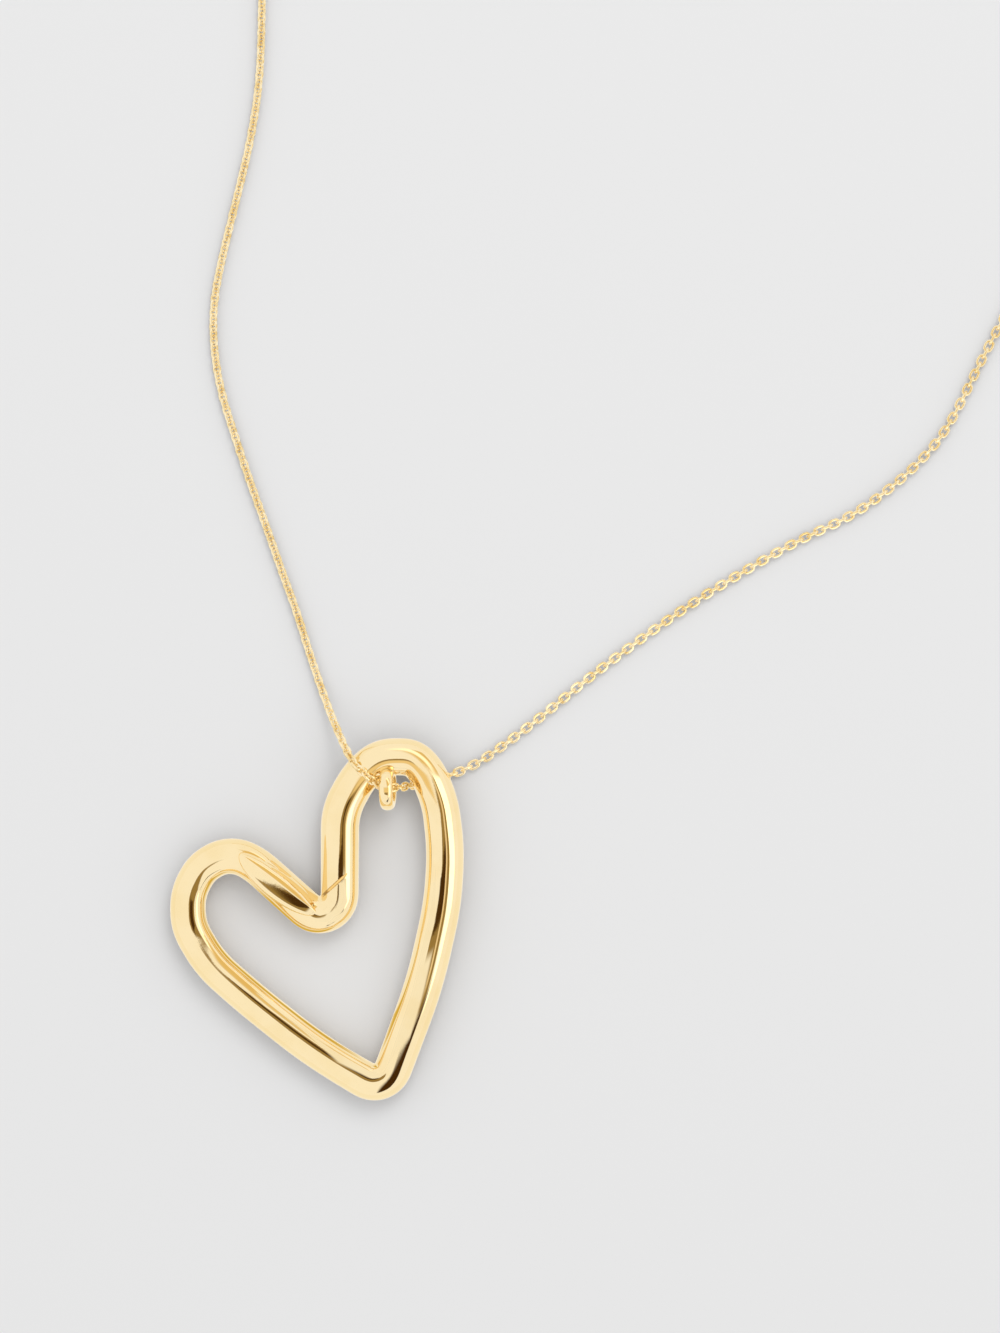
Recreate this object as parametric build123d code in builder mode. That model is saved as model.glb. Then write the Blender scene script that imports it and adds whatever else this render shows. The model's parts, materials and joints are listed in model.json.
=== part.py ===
from build123d import *
import math
import os

# Heart pendant on a fine cable chain, lying on a flat surface.
# Millimetres. +X to the right and +Y up as one looks down on it, +Z up from the surface.
# The origin is in the middle of the neck opening, on the surface.

# Heart: a round bar bent into an open heart
heart_width = 36.6
heart_height = 45.2
tube_diameter = 4.65
tight_bend = 1.08  # radius of the bends at tip and notch, as a share of the bar's radius
cut_share = 0.45  # how much of a run its bend may take

# Overlap at the notch, where the left arm ends in a rounded nose on top of the bend
nose_diameter = 3.9
nose_lift = 0.7  # height of its end above the bar's centre plane

# Bail: a ring of band with full round edges, soldered under the top of the right lobe
bail_hole = 2.8
bail_band_width = 1.7
bail_band_thickness = 1.3
bail_sink = 1.05  # how deep its band is let into the bar
bail_across = 0.78  # place along the heart's width, as a share of the bar's centre line
bail_seat_angle = 18.7  # how far round the bar, above its centre plane, the bail sits
bail_lean = 5.0  # the top of the bail leans to the left
bail_left = 0.66  # in plan, its middle is this far left of where the chain's halves meet
bail_below = 0.095  # and this far below it

# Chain: the tube that its links fill
chain_diameter = 1.3
chain_gap = 0.05  # between the chain and the bar that lies on it
end_gap = 0.1  # between the chain's ends and the clasp

# Clasp: a plain ring with an eye at each side
clasp_ring_diameter = 5.4
clasp_wire = 1.2
clasp_eye_diameter = 1.8
clasp_eye_wire = 0.5
clasp_overlap = 0.4  # each eye is soldered this far into the ring
clasp_x = 11.0
clasp_y = 87.2
clasp_heading = -9.7

# Corners of the bar's centre line, clockwise, in the two halves that the bar is swept in.
# across and up are shares of the centre line's width and height from its lower left corner,
# and bend is the bend's radius as a share of the bar's radius, or None where the runs set it.
right_corners = [
    # (across, up, bend)
    (0.592, 0.837, None),  # right arm
    (0.665, 0.943, None),
    (0.748, 1.004, None),  # top of the right lobe
    (0.878, 1.004, None),
    (0.936, 0.954, None),
    (0.984, 0.860, None),
    (1.005, 0.714, None),  # right side
    (0.992, 0.553, None),
    (0.924, 0.309, None),
    (0.766, -0.026, tight_bend),  # tip
    (0.503, 0.096, None),  # left side
]
left_corners = [
    # (across, up, bend)
    (0.256, 0.249, None),  # left side
    (0.084, 0.368, None),
    (-0.002, 0.483, None),  # left lobe
    (-0.002, 0.585, None),
    (0.051, 0.662, None),
    (0.129, 0.698, None),
    (0.201, 0.698, None),
    (0.269, 0.669, None),  # left arm
    (0.590, 0.441, tight_bend),  # notch
]

# The nose's axis, as shares of the centre line's width and height
nose_start = (0.275, 0.667)
nose_end = (0.443, 0.550)

# Route of the chain, from the clasp round to the clasp. None is the height at which it lies
# on the surface. It passes over the right lobe's shoulder, down through the bail, and under
# the other side of the lobe.
left_route = [
    # (x, y, z)
    (-3.5, 87.5, None),
    (-18.1, 82.8, None),
    (-30.4, 73.5, None),
    (-39.0, 60.4, None),
    (-44.1, 44.8, None),
    (-46.6, 28.8, None),
    (-47.2, 14.4, None),
    (-47.4, 3.0, None),
    (-48.6, -4.9, None),
    (-50.3, -12.0, None),
    (-52.0, -18.8, None),
    (-53.3, -25.1, None),
    (-53.3, -30.8, None),
    (-52.4, -36.4, None),
    (-50.6, -42.1, None),
    (-48.7, -47.8, None),
    (-46.8, -53.0, None),
    (-44.9, -58.5, None),
    (-42.9, -63.9, None),
    (-41.5, -68.5, None),
    (-40.0, -73.0, None),
    (-38.62, -76.75, 1.7),
    (-37.31, -79.75, 3.65),
    (-36.12, -82.12, 5.67),
    (-35.25, -83.25, 6.76),
    (-34.31, -84.12, 6.81),
    (-33.38, -85.0, 6.36),
    (-32.44, -85.62, 5.26),
    (-31.25, -85.88, 4.66),
]
meeting_point = (-30.75, -85.845, 4.41)  # halfway through the bail
right_route = [
    # (x, y, z)
    (-30.25, -85.81, 4.16),
    (-29.19, -85.75, 2.81),
    (-28.38, -85.62, 1.35),
    (-27.0, -85.31, None),
    (-24.6, -84.7, None),
    (-21.0, -83.3, None),
    (-17.5, -81.0, None),
    (-12.5, -77.2, None),
    (-6.3, -72.1, None),
    (0.0, -67.4, None),
    (6.3, -63.0, None),
    (13.1, -58.8, None),
    (20.0, -54.9, None),
    (26.3, -52.1, None),
    (31.5, -48.4, None),
    (35.6, -44.6, None),
    (38.8, -40.5, None),
    (43.1, -31.5, None),
    (49.2, -20.3, None),
    (53.5, -5.6, None),
    (55.6, 10.6, None),
    (55.5, 27.2, None),
    (52.6, 43.8, None),
    (46.6, 59.0, None),
    (37.5, 72.0, None),
    (25.6, 81.8, None),
]

# Sizes that follow
tube_radius = tube_diameter / 2
chain_radius = chain_diameter / 2
span_x = heart_width - tube_diameter
span_y = heart_height - tube_diameter
bail_outer_radius = bail_hole / 2 + bail_band_thickness
bail_middle_radius = (bail_hole + bail_band_thickness) / 2
bail_distance = tube_radius + bail_outer_radius - bail_sink
clasp_eye_offset = (clasp_ring_diameter + clasp_eye_diameter) / 2 - clasp_overlap
clasp_reach = clasp_eye_offset + clasp_eye_diameter / 2


def turn_at(before, corner, after):
    """The angle, in degrees, by which a route turns at a corner."""
    return (corner - before).get_angle(after - corner)


def bend_radius(before, corner, after, reach=(1, 1)):
    """The largest even bend for a corner. At a free end the run counts double."""
    runs = ((corner - before).length * reach[0], (after - corner).length * reach[1])
    return cut_share * min(runs) / math.tan(math.radians(turn_at(before, corner, after) / 2))


def route_radii(points):
    """A bend radius for each inner corner of an open route."""
    radii = []
    for i in range(1, len(points) - 1):
        reach = (2 if i == 1 else 1, 2 if i == len(points) - 2 else 1)
        radii.append(bend_radius(points[i - 1], points[i], points[i + 1], reach))
    return radii


# The pendant lies on its left side and on the chain under its right lobe, which tips it
side_low = right_corners[-1]
side_high = left_corners[0]
bail_local = Vector(
    bail_across * span_x,
    span_y - bail_distance * math.cos(math.radians(bail_seat_angle)),
    bail_distance * math.sin(math.radians(bail_seat_angle)),
)
corner_x = meeting_point[0] - bail_left - bail_local.X
corner_y = meeting_point[1] - bail_below - bail_local.Y
side_point = Vector(corner_x + side_low[0] * span_x, corner_y + side_low[1] * span_y, tube_radius)
side_direction = Vector(
    (side_low[0] - side_high[0]) * span_x, (side_low[1] - side_high[1]) * span_y, 0
).normalized()
crossing = Vector(*right_route[3][:2], tube_radius) - side_point
crossing_arm = crossing.cross(side_direction).length
tip_angle = math.degrees(math.asin((chain_diameter + chain_gap) / crossing_arm))
tip_axis = Axis((0, 0, 0), side_direction)
heart_plane = Plane(
    origin=side_point + (Vector(corner_x, corner_y, tube_radius) - side_point).rotate(tip_axis, tip_angle),
    x_dir=Vector(1, 0, 0).rotate(tip_axis, tip_angle),
    z_dir=Vector(0, 0, 1).rotate(tip_axis, tip_angle),
)


def on_heart(across, up, height=0):
    """A point of the heart, from shares of its centre line's size and a height above its plane."""
    return heart_plane.from_local_coords(Vector(across * span_x, up * span_y, height))


corners = [*right_corners, *left_corners]
corner_points = [on_heart(across, up) for across, up, bend in corners]
corner_radii = []
for i, (across, up, bend) in enumerate(corners):
    if bend is None:
        after = corner_points[(i + 1) % len(corners)]
        corner_radii.append(bend_radius(corner_points[i - 1], corner_points[i], after))
    else:
        corner_radii.append(bend * tube_radius)
split = len(right_corners)
arm_middle = (corner_points[-1] + corner_points[0]) / 2
side_middle = (corner_points[split - 1] + corner_points[split]) / 2
right_half = [arm_middle, *corner_points[:split], side_middle]
right_half_radii = corner_radii[:split]
left_half = [side_middle, *corner_points[split:], arm_middle]
left_half_radii = corner_radii[split:]

underside = -heart_plane.z_dir  # the bar's seam runs here
nose_from = on_heart(*nose_start)
nose_to = on_heart(*nose_end, nose_lift)

bail_centre = heart_plane.from_local_coords(bail_local)
lean = math.radians(bail_lean)
bail_axis = heart_plane.x_dir * math.cos(lean) + heart_plane.z_dir * math.sin(lean)
bail_free_side = -heart_plane.y_dir  # its seam runs here, away from the solder
bail_plane = Plane(
    origin=bail_centre, x_dir=bail_free_side, z_dir=bail_free_side.cross(bail_axis)
)

# Heart and bail, soldered into one piece
with BuildPart() as heart_pendant:
    for half, radii in ((right_half, right_half_radii), (left_half, left_half_radii)):
        with BuildLine() as bar_line:
            FilletPolyline(*half, radius=radii)
        with BuildSketch(Plane(origin=bar_line.line @ 0, x_dir=underside, z_dir=bar_line.line % 0)):
            Circle(tube_radius)
        sweep(path=bar_line.line)
    with BuildLine() as nose_line:
        Line(nose_from, nose_to)
    with BuildSketch(Plane(origin=nose_from, x_dir=underside, z_dir=nose_to - nose_from)):
        Circle(nose_diameter / 2)
    sweep(path=nose_line.line)
    with Locations(nose_to):
        Sphere(nose_diameter / 2)
    with BuildSketch(bail_plane):
        with Locations((bail_middle_radius, 0)):
            SlotOverall(bail_band_width, bail_band_thickness, rotation=90)
    revolve(axis=Axis(bail_centre, bail_axis))
heart_pendant.part.label = "heart_pendant"

# Clasp, one plain piece lying flat where the chain's ends meet
clasp_plane = Plane((clasp_x, clasp_y, clasp_wire / 2)).rotated((0, 0, clasp_heading))
with BuildPart(clasp_plane) as clasp:
    Torus((clasp_ring_diameter - clasp_wire) / 2, clasp_wire / 2)
    with Locations((-clasp_eye_offset, 0), (clasp_eye_offset, 0)):
        Torus((clasp_eye_diameter - clasp_eye_wire) / 2, clasp_eye_wire / 2)
clasp.part.label = "clasp"

# Chain, in two halves that meet in the bail
chain_end = clasp_reach + end_gap
left_end = clasp_plane.from_local_coords(Vector(-chain_end, 0, chain_radius - clasp_wire / 2))
right_end = clasp_plane.from_local_coords(Vector(chain_end, 0, chain_radius - clasp_wire / 2))


def lay(route):
    """The route's points, with the chain's own height where it lies on the surface."""
    return [Vector(x, y, chain_radius if z is None else z) for x, y, z in route]


left_points = [left_end, *lay(left_route), Vector(*meeting_point)]
right_points = [Vector(*meeting_point), *lay(right_route), right_end]
left_radii = route_radii(left_points)
right_radii = route_radii(right_points)

with BuildPart() as chain_left:
    with BuildLine() as left_line:
        FilletPolyline(*left_points, radius=left_radii)
    with BuildSketch(Plane(origin=left_line.line @ 0, z_dir=left_line.line % 0)):
        Circle(chain_radius)
    sweep(path=left_line.line)
chain_left.part.label = "chain_left"

with BuildPart() as chain_right:
    with BuildLine() as right_line:
        FilletPolyline(*right_points, radius=right_radii)
    with BuildSketch(Plane(origin=right_line.line @ 0, z_dir=right_line.line % 0)):
        Circle(chain_radius)
    sweep(path=right_line.line)
chain_right.part.label = "chain_right"

os.makedirs("parts", exist_ok=True)
export_step(heart_pendant.part, "parts/heart_pendant.step")
export_step(chain_left.part, "parts/chain_left.step")
export_step(chain_right.part, "parts/chain_right.step")
export_step(clasp.part, "parts/clasp.step")

# Figures to check the model by
left_length = sum(edge.length for edge in left_line.edges())
right_length = sum(edge.length for edge in right_line.edges())
print("tip angle", round(tip_angle, 2), "bail centre", bail_centre)
for name, length, radii, part in (
    ("chain_left", left_length, left_radii, chain_left.part),
    ("chain_right", right_length, right_radii, chain_right.part),
):
    print(name, "length", round(length, 2), "radii", [round(radius, 2) for radius in radii])
    print(name, "volume over section times length", part.volume / (math.pi * chain_radius**2 * length))
print("loop", round(left_length + right_length + 2 * chain_end, 1))
print("pendant volume", round(heart_pendant.part.volume, 1), "clasp volume", round(clasp.part.volume, 2))
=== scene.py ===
import json
import math

import bpy
from mathutils import Matrix, Vector, noise

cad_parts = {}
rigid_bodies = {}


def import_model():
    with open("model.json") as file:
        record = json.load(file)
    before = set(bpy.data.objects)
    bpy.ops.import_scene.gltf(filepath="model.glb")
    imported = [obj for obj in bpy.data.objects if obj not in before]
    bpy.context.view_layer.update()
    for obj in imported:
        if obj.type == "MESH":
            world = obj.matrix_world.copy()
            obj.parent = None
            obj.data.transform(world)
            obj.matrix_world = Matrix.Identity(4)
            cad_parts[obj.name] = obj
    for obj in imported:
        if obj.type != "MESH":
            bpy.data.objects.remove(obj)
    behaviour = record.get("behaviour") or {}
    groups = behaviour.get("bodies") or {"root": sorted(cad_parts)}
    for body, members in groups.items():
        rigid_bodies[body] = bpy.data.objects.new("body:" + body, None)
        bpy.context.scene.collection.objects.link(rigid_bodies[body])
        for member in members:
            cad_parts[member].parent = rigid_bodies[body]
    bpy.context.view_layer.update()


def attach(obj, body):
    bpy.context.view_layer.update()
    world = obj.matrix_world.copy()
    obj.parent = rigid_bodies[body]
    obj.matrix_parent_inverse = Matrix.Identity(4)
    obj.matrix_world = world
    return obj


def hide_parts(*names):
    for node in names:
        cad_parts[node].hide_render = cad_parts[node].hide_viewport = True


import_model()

bl_info = {
    "name": "Heart pendant necklace",
    "version": (1, 0, 0),
    "blender": (4, 5, 0),
    "location": "View3D > Sidebar > Necklace",
    "description": "A gold open heart on a fine cable chain, laid out on a pale surface",
    "category": "Add Mesh",
}

# Metres throughout. +X to the right and +Y up as one looks down on the necklace, +Z up from the
# surface. The origin is in the middle of the neck opening.
MM = 0.001

# Corners of the bar's centre line, clockwise, in the CAD model's two halves.
# across and up are shares of the centre line's width and height from its lower left corner,
# bend is the bend's radius as a share of the bar's radius, or None where the runs set it, and
# thick is the bar's thickness there as a share of its nominal one.
RIGHT_CORNERS = [
    # (across, up, bend, thick)
    (0.592, 0.837, None, 1.03),  # right arm
    (0.665, 0.943, None, 1.01),
    (0.748, 1.004, None, 1.00),  # top of the right lobe
    (0.878, 1.004, None, 0.99),
    (0.936, 0.954, None, 1.00),
    (0.984, 0.860, None, 1.00),
    (1.005, 0.714, None, 1.01),  # right side
    (0.992, 0.553, None, 1.02),
    (0.924, 0.309, None, 1.02),
    (0.766, -0.026, 1.08, 1.00),  # tip
    (0.503, 0.096, None, 0.98),  # left side
]
LEFT_CORNERS = [
    # (across, up, bend, thick)
    (0.256, 0.249, None, 0.98),  # left side
    (0.084, 0.368, None, 0.97),
    (-0.002, 0.483, None, 0.96),  # left lobe
    (-0.002, 0.585, None, 0.95),
    (0.051, 0.662, None, 0.94),
    (0.129, 0.698, None, 0.94),
    (0.201, 0.698, None, 0.96),
    (0.269, 0.669, None, 0.99),  # left arm
    (0.590, 0.441, 1.08, 1.01),  # notch
]

# From point to point along the arcs of the bar's bends, how fine its mesh is round its section,
# and how many times its line and its thickness are drawn towards their neighbours.
ARC_STEP = 0.1 * MM
BAR_RESOLUTION = 17
LINE_PASSES = 16
THICKNESS_PASSES = 300

# Where the nose starts in the left arm and where it ends, and both ends of the fold that crosses
# the right arm at the notch, in the same shares.
NOSE_START = (0.355, 0.618)
NOSE_END = (0.505, 0.525)
FOLD_START = (0.520, 0.574)
FOLD_END = (0.622, 0.648)

# Route of the chain, from the clasp round to the clasp, as in the CAD source. None is the
# height at which it lies on the surface. The chain's two halves meet in the bail.
LEFT_ROUTE = [
    # (x, y, z)
    (-0.0035, 0.0875, None),
    (-0.0181, 0.0828, None),
    (-0.0304, 0.0735, None),
    (-0.0390, 0.0604, None),
    (-0.0441, 0.0448, None),
    (-0.0466, 0.0288, None),
    (-0.0472, 0.0144, None),
    (-0.0474, 0.0030, None),
    (-0.0486, -0.0049, None),
    (-0.0503, -0.0120, None),
    (-0.0520, -0.0188, None),
    (-0.0533, -0.0251, None),
    (-0.0533, -0.0308, None),
    (-0.0524, -0.0364, None),
    (-0.0506, -0.0421, None),
    (-0.0487, -0.0478, None),
    (-0.0468, -0.0530, None),
    (-0.0449, -0.0585, None),
    (-0.0429, -0.0639, None),
    (-0.0415, -0.0685, None),
    (-0.0400, -0.0730, None),
    (-0.03862, -0.07675, 0.0017),
    (-0.03731, -0.07975, 0.00365),
    (-0.03612, -0.08212, 0.00567),
    (-0.03525, -0.08325, 0.00676),
    (-0.03431, -0.08412, 0.00681),
    (-0.03338, -0.08500, 0.00636),
    (-0.03244, -0.08562, 0.00526),
    (-0.03125, -0.08588, 0.00466),
]
MEETING_POINT = (-0.03075, -0.085845, 0.00441)
RIGHT_ROUTE = [
    # (x, y, z)
    (-0.03025, -0.08581, 0.00416),
    (-0.02919, -0.08575, 0.00281),
    (-0.02838, -0.08562, 0.00135),
    (-0.0270, -0.08531, None),
    (-0.0246, -0.0847, None),
    (-0.0210, -0.0833, None),
    (-0.0175, -0.0810, None),
    (-0.0125, -0.0772, None),
    (-0.0063, -0.0721, None),
    (0.0000, -0.0674, None),
    (0.0063, -0.0630, None),
    (0.0131, -0.0588, None),
    (0.0200, -0.0549, None),
    (0.0263, -0.0521, None),
    (0.0315, -0.0484, None),
    (0.0356, -0.0446, None),
    (0.0388, -0.0405, None),
    (0.0431, -0.0315, None),
    (0.0492, -0.0203, None),
    (0.0535, -0.0056, None),
    (0.0556, 0.0106, None),
    (0.0555, 0.0272, None),
    (0.0526, 0.0438, None),
    (0.0466, 0.0590, None),
    (0.0375, 0.0720, None),
    (0.0256, 0.0818, None),
]

# The row of RIGHT_ROUTE at which the chain passes under the right lobe.
CROSSING_ROW = 3

# Cards that only the metal mirrors. centre and size are in metres. rise is how far its right end is
# raised and turn how far it is turned, in degrees. left_end is its left end's width as a share of
# its right end's, rim the share of it that fades out, and strength its brightness.
# Not all of these numbers were chosen by hand. A search that compared a simple mirror model of
# the bar with the photograph gave warm_fill, here rounded, and low_flag, whose colour, width,
# turn and place were then changed a little. The others were set one by one, dark_flag, dark_core
# and side_key with the search's results in view.
CARDS = [
    # (name, centre, size, rise, turn, left_end, rim, colour, strength)
    ("dark_flag", (-0.0140, -0.1075, 0.0735), (0.094, 0.098), 25, 4, 0.04, 0.16, "9C8452", 1.0),
    ("dark_core", (-0.0290, -0.1035, 0.0600), (0.041, 0.020), 27, 0, 0.28, 0.35, "4A3212", 1.0),
    ("pale_gap", (-0.0193, -0.0990, 0.0300), (0.0048, 0.042), 0, 0, 1.00, 0.35, "F4E0BC", 1.0),
    ("pale_bend", (-0.0350, -0.1037, 0.0110), (0.0100, 0.013), 0, -45, 1.00, 0.30, "FFFFFF", 1.0),
    ("pale_fold", (-0.0360, -0.1000, 0.0110), (0.0042, 0.0046), 0, 0, 1.00, 0.25, "FFFFFF", 1.0),
    ("pale_low", (-0.0315, -0.1130, 0.0110), (0.0130, 0.0140), 0, 0, 1.00, 0.30, "FFFFFF", 1.0),
    ("bail_glow", (-0.0312, -0.0868, 0.0130), (0.0110, 0.0050), 0, 0, 1.00, 0.60, "F4DCA8", 1.0),
    ("side_key", (0.0285, -0.0980, 0.0480), (0.058, 0.072), 0, 20, 1.00, 0.15, "FFFCF0", 1.9),
    ("arm_key", (-0.0220, -0.0670, 0.0220), (0.014, 0.036), 0, 50, 1.00, 0.50, "FFF6EC", 1.4),
    ("warm_fill", (0.0170, -0.0230, 0.0680), (0.112, 0.087), -10, 20, 1.00, 0.35, "EACD8C", 1.0),
    ("low_flag", (-0.0167, -0.1494, 0.0284), (0.035, 0.065), 26, 0, 0.96, 0.26, "452C0C", 1.0),
    ("left_glow", (-0.0420, -0.1083, 0.0004), (0.0270, 0.0060), 0, -42, 1.00, 0.40, "DCBD58", 1.0),
]


def metres(name, default, description):
    """A length that the user can set."""
    return bpy.props.FloatProperty(
        name=name, description=description, default=default,
        precision=5, unit="LENGTH", subtype="DISTANCE",
    )


def share(name, default, description):
    """A share or factor that the user can set."""
    return bpy.props.FloatProperty(name=name, description=description, default=default, precision=3)


def degrees(name, default, description):
    """An angle that the user can set."""
    return bpy.props.FloatProperty(
        name=name, description=description, default=math.radians(default),
        unit="ROTATION", subtype="ANGLE",
    )


def linear(hex_colour):
    """Linear red, green, blue and alpha of an sRGB hex colour such as F9E3B4."""
    channels = [int(hex_colour[i : i + 2], 16) / 255 for i in (0, 2, 4)]
    toned = [c / 12.92 if c <= 0.04045 else ((c + 0.055) / 1.055) ** 2.4 for c in channels]
    return (*toned, 1.0)


def colour(name, hex_colour, description):
    """A colour that the user can set."""
    return bpy.props.FloatVectorProperty(
        name=name, description=description, default=linear(hex_colour),
        size=4, min=0, max=1, subtype="COLOR",
    )


class HeartSettings(bpy.types.PropertyGroup):
    """Sizes of the open heart and its bail"""

    width: metres("Width", 36.6 * MM, "Outside width of the heart")
    height: metres("Height", 45.2 * MM, "Outside height of the heart")
    bar: metres("Bar", 4.65 * MM, "Thickness of the round bar")
    cut_share: share("Cut share", 0.45, "How much of a run its bend may take")
    step: metres("Step", 0.15 * MM, "From section to section along the bar's mesh")
    nose_left: metres("Nose left", 2.05 * MM, "Half width of the nose on its flat side")
    nose_right: metres("Nose right", 1.60 * MM, "Half width of the nose on its round side")
    nose_seat: metres("Nose seat", 0.90 * MM, "Height of the nose's middle above the bar's middle")
    nose_rise: metres("Nose rise", 1.85 * MM, "Height of the nose's top above its own middle")
    nose_drop: share("Nose drop", 0.036, "How steeply the nose's top falls towards its end")
    nose_slant: share("Nose slant", 0.052, "How steeply the nose's top falls towards its round side")
    valley: metres("Valley", 0.2 * MM, "Depth of the hollow round the nose")
    valley_width: metres("Valley width", 0.6 * MM, "Width of the hollow round the nose")
    fold_width: metres("Fold width", 0.42 * MM, "Width of the fold across the right arm")
    fold_depth: metres("Fold depth", 1.8 * MM, "Height of the disc that cuts the fold")
    fold_low: metres("Fold low", 1.2 * MM, "Height of the cut at the notch, above the bar's middle")
    fold_high: metres("Fold high", 2.7 * MM, "Its height at the fold's other end")
    wave: metres("Wave", 0.016 * MM, "How far hand polishing leaves the surface from true")
    bail_hole: metres("Bail hole", 2.8 * MM, "Inside width of the bail")
    bail_width: metres("Bail width", 1.7 * MM, "Width of the bail's band")
    bail_thickness: metres("Bail thickness", 1.3 * MM, "Thickness of the bail's band")
    bail_sink: metres("Bail sink", 1.05 * MM, "How deep the bail is let into the bar")
    bail_across: share("Bail across", 0.78, "Place along the heart's width")
    bail_seat: degrees("Bail seat", 18.7, "How far round the bar the bail sits")
    bail_lean: degrees("Bail lean", 5.0, "How far the bail's top leans to the left")
    bail_left: metres("Bail left", 0.66 * MM, "How far left of the halves' meeting point it hangs")
    bail_below: metres("Bail below", 0.095 * MM, "How far below the meeting point it hangs")
    lift: metres("Lift", 1.35 * MM, "How far the chain lifts the right lobe, where it passes under")


class ChainSettings(bpy.types.PropertyGroup):
    """Sizes of the cable chain"""

    tube: metres("Tube", 1.3 * MM, "Width of the tube that stands for the chain in the CAD model")
    link: metres("Link", 1.3 * MM, "Outside width of a link")
    link_length: metres("Link length", 1.72 * MM, "Outside length of a link")
    wire: metres("Wire", 0.35 * MM, "Thickness of a link's wire")
    left_pitch: metres("Left pitch", 0.89 * MM, "From link to link down the left strand")
    right_pitch: metres("Right pitch", 1.005 * MM, "From link to link up the right strand")
    left_twist: degrees("Left twist", 40, "How the left strand's links stand, all along")
    right_twist: degrees("Right twist", 4, "How the right strand's links stand, all along")
    play: degrees("Play", 4, "How far a link may turn from its place")
    blend: metres("Blend", 24 * MM, "Length of chain round the bail over which the twist changes")
    settle: metres("Settle", 8 * MM, "Length of chain at the clasp over which the twist runs out")


class ClaspSettings(bpy.types.PropertyGroup):
    """Sizes and place of the plain clasp"""

    ring: metres("Ring", 5.4 * MM, "Outside width of the ring")
    wire: metres("Wire", 1.2 * MM, "Thickness of the ring's wire")
    eye: metres("Eye", 1.8 * MM, "Outside width of an eye")
    eye_wire: metres("Eye wire", 0.5 * MM, "Thickness of an eye's wire")
    overlap: metres("Overlap", 0.4 * MM, "How far an eye is soldered into the ring")
    x: metres("X", 11.0 * MM, "Place of the ring's middle")
    y: metres("Y", 87.2 * MM, "Place of the ring's middle")
    heading: degrees("Heading", -9.7, "Which way its eyes lie")


class FinishSettings(bpy.types.PropertyGroup):
    """Colours of the metal and of the surface"""

    heart_gold: colour("Heart gold", "F9E4B6", "Colour of the polished plate")
    heart_rub: colour("Heart rub", "F7E0AE", "Its colour where it is rubbed a little")
    chain_gold: colour("Chain gold", "FBEAC2", "Colour of the plate on the links")
    chain_dull: colour("Chain dull", "F1D79C", "Its colour where the links are dull")
    board: colour("Board", "E9E9E9", "Colour of the surface")
    # Painted light: the pale glow that the board gives off where the metal mirrors it, brighter than the
    # lit board.
    board_mirror_glow: colour("Board mirrored", "FFFDF6", "Its colour where the metal mirrors it")
    thrown_light: colour("Thrown light", "C6D2FF", "Cool light for the gold to throw on the grey surface")


class StageSettings(bpy.types.PropertyGroup):
    """Camera and light"""

    view_x: metres("View X", -17.5 * MM, "Middle of the view")
    view_y: metres("View Y", -70.8 * MM, "Middle of the view")
    view_height: metres("View height", 166.6 * MM, "How much of the surface the view takes in")
    distance: metres("Distance", 900 * MM, "From the surface up to the camera")
    sky: share("Sky", 0.865, "Brightness of the soft light that falls on the surface, most from overhead")
    mirrored_sky: share("Mirrored sky", 1.03, "Brightness of the white room that the metal mirrors")
    key: share("Key", 1.5, "Power in watts of the lamp beyond the clasp")
    key_size: metres("Key size", 0.45, "Width of the lamp")
    key_x: metres("Key X", 0.16, "Place of the lamp")
    key_y: metres("Key Y", 0.42, "Place of the lamp")
    key_height: metres("Key height", 0.80, "Height of the lamp above the surface")


def rounded_loop(corners, place, bar_radius, cut_share, step):
    """Points along a closed route whose corners are rounded by tangent arcs, with its thickness."""
    spots = [place(across, up) for across, up, bend, thick in corners]
    loop = []
    for i, (across, up, bend, thick) in enumerate(corners):
        before, corner, after = spots[i - 1], spots[i], spots[(i + 1) % len(spots)]
        half_turn = (corner - before).angle(after - corner) / 2
        shorter = min((corner - before).length, (after - corner).length)
        radius = bend * bar_radius if bend else cut_share * shorter / math.tan(half_turn)
        back = (before - corner).normalized()
        ahead = (after - corner).normalized()
        centre = corner + (back + ahead).normalized() * radius / math.cos(half_turn)
        first = corner + back * radius * math.tan(half_turn) - centre
        axis = first.cross(-back).normalized()
        parts = max(4, math.ceil(2 * half_turn * radius / step))
        for k in range(parts + 1):
            loop.append((centre + Matrix.Rotation(2 * half_turn * k / parts, 3, axis) @ first, thick))
    return loop


def even_loop(loop, step):
    """The same closed route at even steps."""
    closed = [*loop, loop[0]]
    lengths = [(b[0] - a[0]).length for a, b in zip(closed, closed[1:])]
    count = round(sum(lengths) / step)
    step = sum(lengths) / count
    even, walked, i = [], 0.0, 0
    for k in range(count):
        while walked + lengths[i] < k * step:
            walked += lengths[i]
            i += 1
        t = (k * step - walked) / lengths[i]
        (spot, thick), (next_spot, next_thick) = closed[i], closed[i + 1]
        even.append((spot.lerp(next_spot, t), thick * (1 - t) + next_thick * t))
    return even


def eased(values, passes):
    """A closed row of values, each drawn towards its neighbours."""
    for _ in range(passes):
        values = [(values[i - 1] + 2 * v + values[(i + 1) % len(values)]) / 4 for i, v in enumerate(values)]
    return values


def only(obj):
    """Makes obj the one selected and active object."""
    bpy.ops.object.select_all(action="DESELECT")
    obj.select_set(True)
    bpy.context.view_layer.objects.active = obj


def apply_modifier(obj, kind, **settings):
    """Adds a modifier with its settings and applies it."""
    only(obj)
    modifier = obj.modifiers.new(kind.lower(), kind)
    for key, value in settings.items():
        setattr(modifier, key, value)
    bpy.ops.object.modifier_apply(modifier=modifier.name)


def join_solid(obj, other):
    """Solders other onto obj, so that they are one closed surface."""
    apply_modifier(obj, "BOOLEAN", operation="UNION", solver="MANIFOLD", object=other)
    bpy.data.objects.remove(other)


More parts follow.
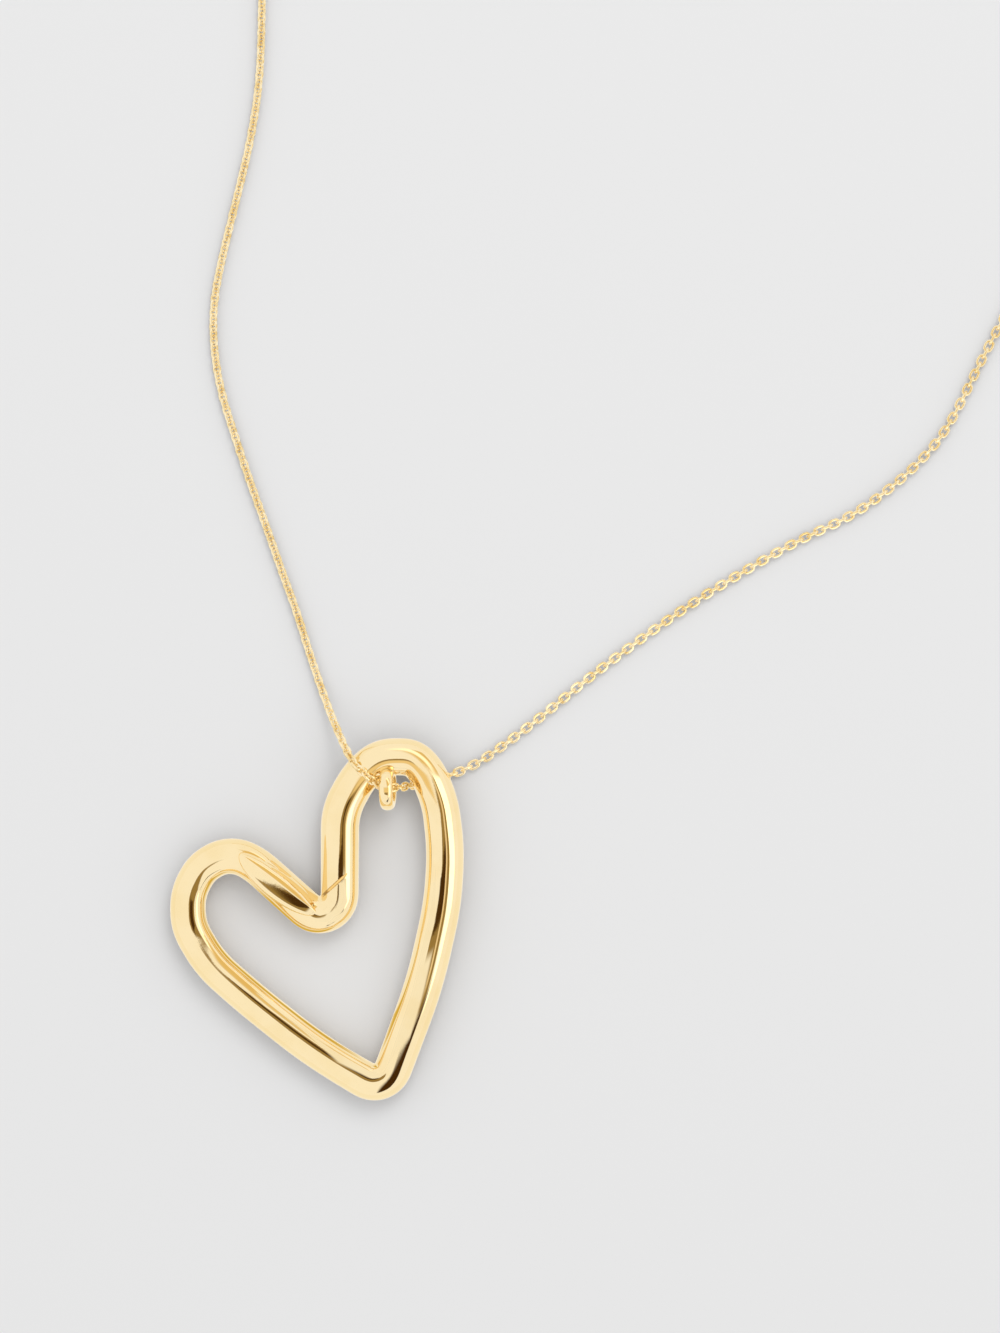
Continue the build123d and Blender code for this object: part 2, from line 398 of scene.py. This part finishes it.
def ring(name, outside, wire, place, segments=(96, 32), stretch=1.0):
    """A wire ring of an outside width. stretch widens its section along its axis."""
    only_before = set(bpy.data.objects)
    bpy.ops.object.select_all(action="DESELECT")
    bpy.ops.mesh.primitive_torus_add(
        major_radius=(outside - wire) / 2,
        minor_radius=wire / 2,
        major_segments=segments[0],
        minor_segments=segments[1],
    )
    obj = (set(bpy.data.objects) - only_before).pop()
    obj.name = name
    bpy.ops.object.mode_set(mode="EDIT")
    bpy.ops.mesh.select_all(action="SELECT")
    bpy.ops.transform.resize(value=(1, 1, stretch))
    bpy.ops.object.mode_set(mode="OBJECT")
    obj.matrix_world = place
    only(obj)
    bpy.ops.object.transform_apply()
    return obj


def finish_piece(obj, material, node, crease=math.radians(35)):
    """Smooths a piece, gives it its finish, and puts it in the place of its CAD node."""
    only(obj)
    bpy.ops.object.shade_smooth_by_angle(angle=crease)
    obj.data.materials.clear()
    obj.data.materials.append(material)
    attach(obj, "root")
    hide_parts(node)


def heart_frame(s):
    """The matrix from the heart's own plane to where it lies, tipped by the chain under it."""
    bar_radius = s.bar / 2
    span_x, span_y = s.width - s.bar, s.height - s.bar
    bail = bail_place(s)
    corner = Vector((MEETING_POINT[0] - s.bail_left, MEETING_POINT[1] - s.bail_below)) - bail.to_2d()
    low, high = RIGHT_CORNERS[-1], LEFT_CORNERS[0]
    side = Vector((corner.x + low[0] * span_x, corner.y + low[1] * span_y, bar_radius))
    direction = Vector(((low[0] - high[0]) * span_x, (low[1] - high[1]) * span_y, 0)).normalized()
    crossing = Vector((*RIGHT_ROUTE[CROSSING_ROW][:2], bar_radius)) - side
    angle = math.asin(s.lift / crossing.cross(direction).length)
    tip = Matrix.Translation(side) @ Matrix.Rotation(angle, 4, direction) @ Matrix.Translation(-side)
    return tip @ Matrix.Translation((*corner, bar_radius))


def bail_place(s):
    """The middle of the bail, in the heart's own plane."""
    distance = s.bar / 2 + s.bail_hole / 2 + s.bail_thickness - s.bail_sink
    return Vector(
        (
            s.bail_across * (s.width - s.bar),
            s.height - s.bar - distance * math.cos(s.bail_seat),
            distance * math.sin(s.bail_seat),
        )
    )


def add_node(tree, kind, settings=None, inputs=None):
    """Adds a node with its settings, and with values or links into its inputs."""
    node = tree.nodes.new(kind)
    for key, value in (settings or {}).items():
        setattr(node, key, value)
    for key, value in (inputs or {}).items():
        if isinstance(value, bpy.types.NodeSocket):
            tree.links.new(value, node.inputs[key])
        else:
            node.inputs[key].default_value = value
    return node


def new_material(name):
    """An empty node material and its tree."""
    material = bpy.data.materials.new(name)
    material.use_nodes = True
    material.node_tree.nodes.clear()
    return material, material.node_tree


def gold_plate(name, bright, rubbed, roughness, rough_spread, patch, scratch, wave):
    """Polished gold plate on brass.

    The plate is a warm mirror. patch is the size in metres of the areas where handling has dulled
    it a little, scratch that of the finest polishing marks, and wave how deep those marks are.
    """
    material, tree = new_material(name)
    spot = add_node(tree, "ShaderNodeTexCoord").outputs["Object"]
    areas = add_node(
        tree, "ShaderNodeTexNoise", {"noise_dimensions": "3D"},
        {"Vector": spot, "Scale": 1 / patch, "Detail": 3, "Roughness": 0.55},
    ).outputs["Fac"]
    marks = add_node(
        tree, "ShaderNodeTexNoise", {"noise_dimensions": "3D"},
        {"Vector": spot, "Scale": 1 / scratch, "Detail": 4, "Roughness": 0.6},
    ).outputs["Fac"]
    dulled = add_node(
        tree, "ShaderNodeMapRange", {"interpolation_type": "SMOOTHSTEP"},
        {"Value": areas, "From Min": 0.42, "From Max": 0.68, "To Min": 0.0, "To Max": 1.0},
    ).outputs["Result"]
    tone = add_node(
        tree, "ShaderNodeMix", {"data_type": "RGBA"}, {0: dulled, 6: bright, 7: rubbed}
    ).outputs[2]
    rough = add_node(
        tree, "ShaderNodeMapRange", {},
        {"Value": areas, "From Min": 0.3, "From Max": 0.7,
         "To Min": roughness - rough_spread, "To Max": roughness + rough_spread},
    ).outputs["Result"]
    bump = add_node(
        tree, "ShaderNodeBump", {}, {"Height": marks, "Strength": 1.0, "Distance": wave}
    ).outputs["Normal"]
    shader = add_node(
        tree, "ShaderNodeBsdfPrincipled", {},
        {"Base Color": tone, "Metallic": 1.0, "Roughness": rough, "Normal": bump},
    )
    add_node(tree, "ShaderNodeOutputMaterial", {}, {"Surface": shader.outputs["BSDF"]})
    return material


def mirror_paths(tree):
    """Two switches: for what the eye sees mirrored, and for what the metal throws on the surface."""
    path = add_node(tree, "ShaderNodeLightPath").outputs
    switches = []
    for operation in ("LESS_THAN", "GREATER_THAN"):
        depth = add_node(
            tree, "ShaderNodeMath", {"operation": operation}, {0: path["Diffuse Depth"], 1: 0.5}
        ).outputs[0]
        both = add_node(
            tree, "ShaderNodeMath", {"operation": "MULTIPLY"}, {0: path["Is Glossy Ray"], 1: depth}
        )
        switches.append(both.outputs[0])
    return switches


def matt_board(name, board, board_mirror_glow, thrown_light):
    """Matt painted board with a faint tooth. Where the metal mirrors it, the board glows with a painted
    pale light of its own, so the metal mirrors it paler than the eye sees it.
    """
    material, tree = new_material(name)
    spot = add_node(tree, "ShaderNodeTexCoord").outputs["Object"]
    tooth = add_node(
        tree, "ShaderNodeTexNoise", {}, {"Vector": spot, "Scale": 1 / (0.6 * MM), "Detail": 3}
    ).outputs["Fac"]
    bump = add_node(
        tree, "ShaderNodeBump", {}, {"Height": tooth, "Strength": 0.3, "Distance": 0.01 * MM}
    ).outputs["Normal"]
    mirrored, thrown = mirror_paths(tree)
    tone = add_node(
        tree, "ShaderNodeMix", {"data_type": "RGBA"}, {0: thrown, 6: board, 7: thrown_light}
    ).outputs[2]
    paint = add_node(
        tree, "ShaderNodeBsdfPrincipled", {},
        {"Base Color": tone, "Roughness": 1.0, "Specular IOR Level": 0.0, "Normal": bump},
    )
    # Painted reflection: the board glows with this pale light where the metal mirrors it, in place of its
    # lit colour.
    mirror_glow = add_node(tree, "ShaderNodeEmission", {}, {"Color": board_mirror_glow, "Strength": 1.02})
    part = add_node(tree, "ShaderNodeMath", {"operation": "MULTIPLY"}, {0: mirrored, 1: 0.96})
    shader = add_node(
        tree, "ShaderNodeMixShader", {}, {0: part.outputs[0], 1: paint.outputs[0], 2: mirror_glow.outputs[0]}
    )
    add_node(tree, "ShaderNodeOutputMaterial", {}, {"Surface": shader.outputs[0]})
    return material


def card_light(name, left_end, rim, tint, strength):
    """A card's own light: even in the middle, and clear at its rim, so that it has no hard edge."""
    material, tree = new_material(name)
    place = add_node(tree, "ShaderNodeTexCoord").outputs["UV"]
    apart = add_node(tree, "ShaderNodeSeparateXYZ", {}, {"Vector": place})
    out = []
    for axis in ("X", "Y"):
        centred = add_node(
            tree, "ShaderNodeMath", {"operation": "SUBTRACT"}, {0: apart.outputs[axis], 1: 0.5}
        ).outputs[0]
        out.append(add_node(tree, "ShaderNodeMath", {"operation": "ABSOLUTE"}, {0: centred}).outputs[0])
    reach = add_node(
        tree, "ShaderNodeMapRange", {}, {"Value": apart.outputs["X"], "To Min": left_end, "To Max": 1.0}
    ).outputs[0]
    beside = add_node(tree, "ShaderNodeMath", {"operation": "DIVIDE"}, {0: out[1], 1: reach}).outputs[0]
    farther = add_node(tree, "ShaderNodeMath", {"operation": "MAXIMUM"}, {0: out[0], 1: beside}).outputs[0]
    cover = add_node(
        tree, "ShaderNodeMapRange", {"interpolation_type": "SMOOTHSTEP"},
        {"Value": farther, "From Min": 0.5 * (1 - rim), "From Max": 0.5, "To Min": 1.0, "To Max": 0.0},
    )
    clear = add_node(tree, "ShaderNodeBsdfTransparent")
    light = add_node(tree, "ShaderNodeEmission", {}, {"Color": tint, "Strength": strength})
    shader = add_node(
        tree, "ShaderNodeMixShader", {}, {0: cover.outputs[0], 1: clear.outputs[0], 2: light.outputs[0]}
    )
    add_node(tree, "ShaderNodeOutputMaterial", {}, {"Surface": shader.outputs[0]})
    return material


class NECKLACE_OT_heart(bpy.types.Operator):
    """Make the open heart with its bail"""

    bl_idname = "necklace.heart"
    bl_label = "Heart and bail"

    def execute(self, context):
        s = context.scene.necklace_heart
        finish = context.scene.necklace_finish
        radius = s.bar / 2
        span_x, span_y = s.width - s.bar, s.height - s.bar
        lie = heart_frame(s)

        def place(across, up, height=0.0):
            return lie @ Vector((across * span_x, up * span_y, height))

        loop = rounded_loop([*RIGHT_CORNERS, *LEFT_CORNERS], place, radius, s.cut_share, ARC_STEP)
        loop = even_loop(loop, s.step)
        spots = eased([spot for spot, thick in loop], LINE_PASSES)
        thicks = eased([thick for spot, thick in loop], THICKNESS_PASSES)

        curve = bpy.data.curves.new("heart line", "CURVE")
        curve.dimensions = "3D"
        curve.bevel_depth = radius
        curve.bevel_resolution = BAR_RESOLUTION
        curve.twist_mode = "MINIMUM"
        line = curve.splines.new("POLY")
        line.points.add(len(spots) - 1)
        for point, spot, thick in zip(line.points, spots, thicks):
            point.co = (*spot, 1)
            point.radius = thick
        line.use_cyclic_u = True
        heart = bpy.data.objects.new("heart_and_bail", curve)
        context.scene.collection.objects.link(heart)
        only(heart)
        bpy.ops.object.convert(target="MESH")
        heart = context.view_layer.objects.active
        nose = nose_frame(s, lie, place)
        hollow_round_nose(heart.data, s, nose)
        polish_wave(heart.data, s.wave)
        join_solid(heart, nose_body(s, nose))
        cut_fold(heart, s, place)

        centre = lie @ bail_place(s)
        x_dir, y_dir, z_dir = (lie.to_3x3() @ Vector(v) for v in ((1, 0, 0), (0, 1, 0), (0, 0, 1)))
        axis = x_dir * math.cos(s.bail_lean) + z_dir * math.sin(s.bail_lean)
        turned = Matrix((y_dir, axis.cross(y_dir), axis)).transposed().to_4x4()
        bail = ring(
            "bail", s.bail_hole + 2 * s.bail_thickness, s.bail_thickness,
            Matrix.Translation(centre) @ turned, (96, 40), s.bail_width / s.bail_thickness,
        )
        join_solid(heart, bail)
        gold = gold_plate(
            "Gold plate, mirror polished", finish.heart_gold, finish.heart_rub,
            0.045, 0.02, 5.0 * MM, 1.6 * MM, 0.004 * MM,
        )
        finish_piece(heart, gold, "heart_pendant")
        return {"FINISHED"}


def nose_frame(s, lie, place):
    """The matrix of the nose: its origin in the arm, X towards its end, Y to its round side."""
    start, end = place(*NOSE_START, s.nose_seat), place(*NOSE_END, s.nose_seat)
    up = lie.to_3x3() @ Vector((0, 0, 1))
    ahead = (end - start).normalized()
    turned = Matrix((ahead, up.cross(ahead), up)).transposed().to_4x4()
    return Matrix.Translation(start) @ turned @ Matrix.Diagonal(((end - start).length, 1, 1, 1))


def nose_body(s, nose):
    """The arm's rounded end, with a flat on the left of its ridge, as a solid of its own."""
    bpy.ops.object.select_all(action="DESELECT")
    bpy.ops.mesh.primitive_uv_sphere_add(segments=128, ring_count=72, radius=1)
    body = bpy.context.active_object
    for vertex in body.data.vertices:
        across, height, ahead = vertex.co
        girth = math.hypot(across, height) or 1.0
        across, height = across / girth, height / girth
        # The section is nearly an ellipse on its round side, and squared on its flat side.
        power = 1.2 if across > 0 else 1 / 3
        width = s.nose_right if across > 0 else s.nose_left
        rise = s.nose_rise * max(0.0, 1 - abs(ahead) ** 6) ** (1 / 6)
        y = math.copysign(abs(across) ** power, across) * width * math.sqrt(max(0.0, 1 - ahead**2))
        z = math.copysign(abs(height) ** power, height) * rise
        if height > 0:
            length = nose.to_scale().x
            z -= s.nose_drop * ahead * length + s.nose_slant * y
        vertex.co = (ahead, y, z if height > 0 else z * 0.6)
    body.matrix_world = nose
    only(body)
    bpy.ops.object.transform_apply()
    return body


def hollow_round_nose(mesh, s, nose):
    """Hollows the bar's metal round the nose's end."""
    inverse = nose.inverted()
    for vertex, normal in zip(mesh.vertices, [v.normal.copy() for v in mesh.vertices]):
        ahead, y, z = inverse @ vertex.co
        if z < -0.5 * MM or not 0 < ahead < 1.6:
            continue
        width = s.nose_right if y > 0 else s.nose_left
        clear = (math.hypot(ahead, y / width) - 1) * width
        near = math.exp(-((clear / s.valley_width) ** 2)) * min(1.0, ahead / 0.5)
        vertex.co -= normal * s.valley * near
    mesh.update()


def cut_fold(heart, s, place):
    """Cuts the fold across the right arm with a thin standing disc."""
    start, end = place(*FOLD_START, s.fold_low), place(*FOLD_END, s.fold_high)
    ahead = (end - start).normalized()
    beside = ahead.cross(Vector((0, 0, 1))).normalized()
    turned = Matrix((ahead, beside, ahead.cross(beside))).transposed().to_4x4()
    size = Matrix.Diagonal((*((end - start).length * 0.58, s.fold_width / 2, s.fold_depth / 2), 1))
    bpy.ops.object.select_all(action="DESELECT")
    bpy.ops.mesh.primitive_uv_sphere_add(segments=96, ring_count=48, radius=1)
    disc = bpy.context.active_object
    disc.matrix_world = Matrix.Translation((start + end) / 2) @ turned @ size
    only(disc)
    bpy.ops.object.transform_apply()
    apply_modifier(heart, "BOOLEAN", operation="DIFFERENCE", solver="MANIFOLD", object=disc)
    bpy.data.objects.remove(disc)


def polish_wave(mesh, depth):
    """Moves the surface in and out a little, as polishing by hand leaves it."""
    for vertex in mesh.vertices:
        swell = noise.noise(vertex.co / (5.5 * MM)) + 0.4 * noise.noise(vertex.co / (2.2 * MM))
        vertex.co += vertex.normal * depth * swell
    mesh.update()


class NECKLACE_OT_chain(bpy.types.Operator):
    """Make the cable chain, link by link, along its route"""

    bl_idname = "necklace.chain"
    bl_label = "Chain"

    def execute(self, context):
        s = context.scene.necklace_chain
        clasp = context.scene.necklace_clasp
        finish = context.scene.necklace_finish
        route, join = chain_route(s, clasp)
        stations = link_stations(route, join, s)
        pattern = ring("link", s.link, s.wire, Matrix.Identity(4), (12, 6))
        longer = s.link_length - s.link
        for vertex in pattern.data.vertices:
            if abs(vertex.co.x) > 0.1 * MM:
                vertex.co.x += math.copysign(longer / 2, vertex.co.x)
        corners = [v.co.copy() for v in pattern.data.vertices]
        faces = [tuple(face.vertices) for face in pattern.data.polygons]
        bpy.data.objects.remove(pattern)
        gold = gold_plate(
            "Gold plate on drawn wire", finish.chain_gold, finish.chain_dull,
            0.10, 0.04, 1.5 * MM, 0.3 * MM, 0.003 * MM,
        )
        for name, node, rows in (
            ("chain_links_left", "chain_left", [m for m, left in stations if left]),
            ("chain_links_right", "chain_right", [m for m, left in stations if not left]),
        ):
            mesh = bpy.data.meshes.new(name)
            mesh.from_pydata(
                [m @ corner for m in rows for corner in corners],
                [],
                [tuple(i + k * len(corners) for i in face) for k in range(len(rows)) for face in faces],
            )
            links = bpy.data.objects.new(name, mesh)
            context.scene.collection.objects.link(links)
            finish_piece(links, gold, node, math.radians(80))
        return {"FINISHED"}


def clasp_matrix(clasp):
    """Where the clasp lies: its eyes are at its left and right."""
    return Matrix.Translation((clasp.x, clasp.y, clasp.wire / 2)) @ Matrix.Rotation(clasp.heading, 4, "Z")


def chain_route(s, clasp):
    """Even points along the chain's smooth line, and how far along it the halves meet."""
    height = s.tube / 2
    offset = (clasp.ring + clasp.eye) / 2 - clasp.overlap
    reach = offset + clasp.eye / 2 - clasp.eye_wire - s.wire + s.link_length / 2
    ends = [clasp_matrix(clasp) @ Vector((side * reach, 0, height - clasp.wire / 2)) for side in (-1, 1)]
    points = [
        ends[0],
        *[Vector((x, y, height if z is None else z)) for x, y, z in LEFT_ROUTE],
        Vector(MEETING_POINT),
        *[Vector((x, y, height if z is None else z)) for x, y, z in RIGHT_ROUTE],
        ends[1],
    ]
    curve = bpy.data.curves.new("chain line", "CURVE")
    curve.dimensions = "3D"
    curve.resolution_u = 40
    line = curve.splines.new("NURBS")
    line.points.add(len(points) - 1)
    for point, spot in zip(line.points, points):
        point.co = (*spot, 1)
    line.order_u = 3
    line.use_endpoint_u = True
    obj = bpy.data.objects.new("chain line", curve)
    bpy.context.scene.collection.objects.link(obj)
    bpy.context.view_layer.update()
    mesh = bpy.data.meshes.new_from_object(obj.evaluated_get(bpy.context.evaluated_depsgraph_get()))
    route = [v.co.copy() for v in mesh.vertices]
    bpy.data.objects.remove(obj)
    bpy.data.curves.remove(curve)
    bpy.data.meshes.remove(mesh)
    meeting = Vector(MEETING_POINT)
    join = min(range(len(route)), key=lambda i: (route[i] - meeting).length)
    return route, join


def link_stations(route, join, s):
    """A matrix for each link, and whether it is of the left half."""
    lengths = [0.0]
    for a, b in zip(route, route[1:]):
        lengths.append(lengths[-1] + (b - a).length)
    spans = ((0.0, lengths[join], s.left_pitch), (lengths[join], lengths[-1], s.right_pitch))
    stops = []
    for k, (low, high, pitch) in enumerate(spans):
        count = round((high - low) / pitch)
        stops += [(low + (high - low) * i / count, k == 0) for i in range(count)]
    stops.append((lengths[-1], False))
    stations, i = [], 0
    up = Vector((0, 0, 1))
    for k, (stop, left) in enumerate(stops):
        while i < len(route) - 2 and lengths[i + 1] < stop:
            i += 1
        t = (stop - lengths[i]) / (lengths[i + 1] - lengths[i])
        spot = route[i].lerp(route[i + 1], t)
        ahead = (route[min(i + 4, len(route) - 1)] - route[max(i - 3, 0)]).normalized()
        side = up.cross(ahead).normalized()
        top = ahead.cross(side)
        past_meeting = (stop - lengths[join]) / s.blend
        blend = min(1.0, max(0.0, 0.5 + past_meeting))
        twist = s.left_twist + (s.right_twist - s.left_twist) * blend
        near_end = min(1.0, min(stop, lengths[-1] - stop) / s.settle)
        twist *= near_end
        sway = s.play * noise.noise(Vector((k * 0.37, 2.5, 7.1)))
        roll = twist + (math.pi / 2) * ((k + 1) % 2) + 2 * sway
        nod = s.play * noise.noise(Vector((k * 0.91, 4.2, 1.3))) * near_end
        basis = Matrix((ahead, side, top)).transposed().to_4x4()
        turn = Matrix.Rotation(roll, 4, "X") @ Matrix.Rotation(nod, 4, "Y")
        stations.append((Matrix.Translation(spot) @ basis @ turn, left))
    return stations


class NECKLACE_OT_clasp(bpy.types.Operator):
    """Make the plain clasp that closes the chain"""

    bl_idname = "necklace.clasp"
    bl_label = "Clasp"

    def execute(self, context):
        s = context.scene.necklace_clasp
        finish = context.scene.necklace_finish
        place = clasp_matrix(s)
        clasp = ring("clasp_ring", s.ring, s.wire, place, (128, 36))
        offset = (s.ring + s.eye) / 2 - s.overlap
        for side in (-1, 1):
            beside = place @ Matrix.Translation((side * offset, 0, 0))
            join_solid(clasp, ring("eye", s.eye, s.eye_wire, beside, (64, 24)))
        gold = gold_plate(
            "Gold plate, polished", finish.heart_gold, finish.chain_dull,
            0.08, 0.03, 2.0 * MM, 0.5 * MM, 0.003 * MM,
        )
        finish_piece(clasp, gold, "clasp")
        return {"FINISHED"}


def soft_room(sky, mirrored_sky, thrown_light):
    """A white room: soft light from overhead on the surface, and an even white for the metal."""
    world = bpy.data.worlds.new("soft room")
    world.use_nodes = True
    tree = world.node_tree
    tree.nodes.clear()
    mirrored, thrown = mirror_paths(tree)
    toward = add_node(tree, "ShaderNodeTexCoord").outputs["Generated"]
    height = add_node(tree, "ShaderNodeSeparateXYZ", {}, {"Vector": toward}).outputs["Z"]
    overhead = add_node(
        tree, "ShaderNodeMapRange", {}, {"Value": height, "To Min": 0.5 * sky, "To Max": 1.25 * sky}
    ).outputs[0]
    bright = add_node(
        tree, "ShaderNodeMapRange", {}, {"Value": mirrored, "To Min": overhead, "To Max": mirrored_sky}
    ).outputs[0]
    tone = add_node(
        tree, "ShaderNodeMix", {"data_type": "RGBA"}, {0: thrown, 6: (1, 1, 1, 1), 7: thrown_light}
    ).outputs[2]
    light = add_node(tree, "ShaderNodeBackground", {}, {"Color": tone, "Strength": bright})
    add_node(tree, "ShaderNodeOutputWorld", {}, {"Surface": light.outputs[0]})
    return world


class NECKLACE_OT_stage(bpy.types.Operator):
    """Lay the floor, set the lights and the cards, and point the camera straight down"""

    bl_idname = "necklace.stage"
    bl_label = "Stage"

    def execute(self, context):
        s = context.scene.necklace_stage
        finish = context.scene.necklace_finish
        bpy.ops.object.select_all(action="DESELECT")
        bpy.ops.mesh.primitive_plane_add(size=6, location=(s.view_x, s.view_y, -0.03 * MM))
        floor = context.active_object
        floor.name = "floor"
        board = matt_board("Matt painted board", finish.board, finish.board_mirror_glow, finish.thrown_light)
        floor.data.materials.append(board)

        for name, centre, size, rise, turn, left_end, rim, tint, strength in CARDS:
            bpy.ops.object.select_all(action="DESELECT")
            bpy.ops.mesh.primitive_plane_add(size=1)
            card = context.active_object
            card.name = name
            turned = Matrix.Rotation(math.radians(turn), 4, "Z")
            raised = Matrix.Rotation(-math.radians(rise), 4, "Y")
            scaled = Matrix.Diagonal((*size, 1, 1))
            card.matrix_world = Matrix.Translation(centre) @ turned @ raised @ scaled
            card.data.materials.append(card_light("Card, " + name, left_end, rim, linear(tint), strength))
            card.visible_camera = False
            card.visible_diffuse = False
            card.visible_shadow = False
            card.visible_transmission = False

        lamp = bpy.data.lights.new("key lamp", "AREA")
        lamp.shape = "RECTANGLE"
        lamp.size, lamp.size_y = s.key_size, s.key_size
        lamp.energy = s.key
        key = bpy.data.objects.new("key lamp", lamp)
        context.scene.collection.objects.link(key)
        spot = Vector((s.key_x, s.key_y, s.key_height))
        key.matrix_world = Matrix.Translation(spot) @ spot.to_track_quat("Z", "Y").to_matrix().to_4x4()
        key.visible_glossy = False

        context.scene.world = soft_room(s.sky, s.mirrored_sky, finish.thrown_light)
        context.scene.view_settings.view_transform = "Standard"

        lens = bpy.data.cameras.new("camera")
        lens.lens = lens.sensor_width * s.distance / s.view_height
        lens.clip_start, lens.clip_end = 0.01, 20
        camera = bpy.data.objects.new("camera", lens)
        camera.location = (s.view_x, s.view_y, s.distance)
        context.scene.collection.objects.link(camera)
        context.scene.camera = camera
        return {"FINISHED"}


class NECKLACE_PT_panel(bpy.types.Panel):
    """The necklace's sizes and its operators"""

    bl_idname = "NECKLACE_PT_panel"
    bl_label = "Heart pendant necklace"
    bl_space_type = "VIEW_3D"
    bl_region_type = "UI"
    bl_category = "Necklace"

    def draw(self, context):
        for title, group, operator in PANEL_ROWS:
            box = self.layout.box()
            box.label(text=title)
            settings = getattr(context.scene, group)
            for name in settings.__annotations__:
                box.prop(settings, name)
            if operator:
                box.operator(operator)


PANEL_ROWS = (
    ("Heart", "necklace_heart", "necklace.heart"),
    ("Chain", "necklace_chain", "necklace.chain"),
    ("Clasp", "necklace_clasp", "necklace.clasp"),
    ("Finish", "necklace_finish", None),
    ("Stage", "necklace_stage", "necklace.stage"),
)
SETTINGS = {
    "necklace_heart": HeartSettings,
    "necklace_chain": ChainSettings,
    "necklace_clasp": ClaspSettings,
    "necklace_finish": FinishSettings,
    "necklace_stage": StageSettings,
}
CLASSES = (
    *SETTINGS.values(),
    NECKLACE_OT_heart,
    NECKLACE_OT_chain,
    NECKLACE_OT_clasp,
    NECKLACE_OT_stage,
    NECKLACE_PT_panel,
)


def register():
    for cls in CLASSES:
        bpy.utils.register_class(cls)
    for name, group in SETTINGS.items():
        setattr(bpy.types.Scene, name, bpy.props.PointerProperty(type=group))


def unregister():
    for name in SETTINGS:
        delattr(bpy.types.Scene, name)
    for cls in reversed(CLASSES):
        bpy.utils.unregister_class(cls)


def main():
    """Makes the whole necklace and its stage."""
    register()
    bpy.ops.necklace.stage()
    bpy.ops.necklace.heart()
    bpy.ops.necklace.chain()
    bpy.ops.necklace.clasp()


if __name__ == "__main__":
    main()
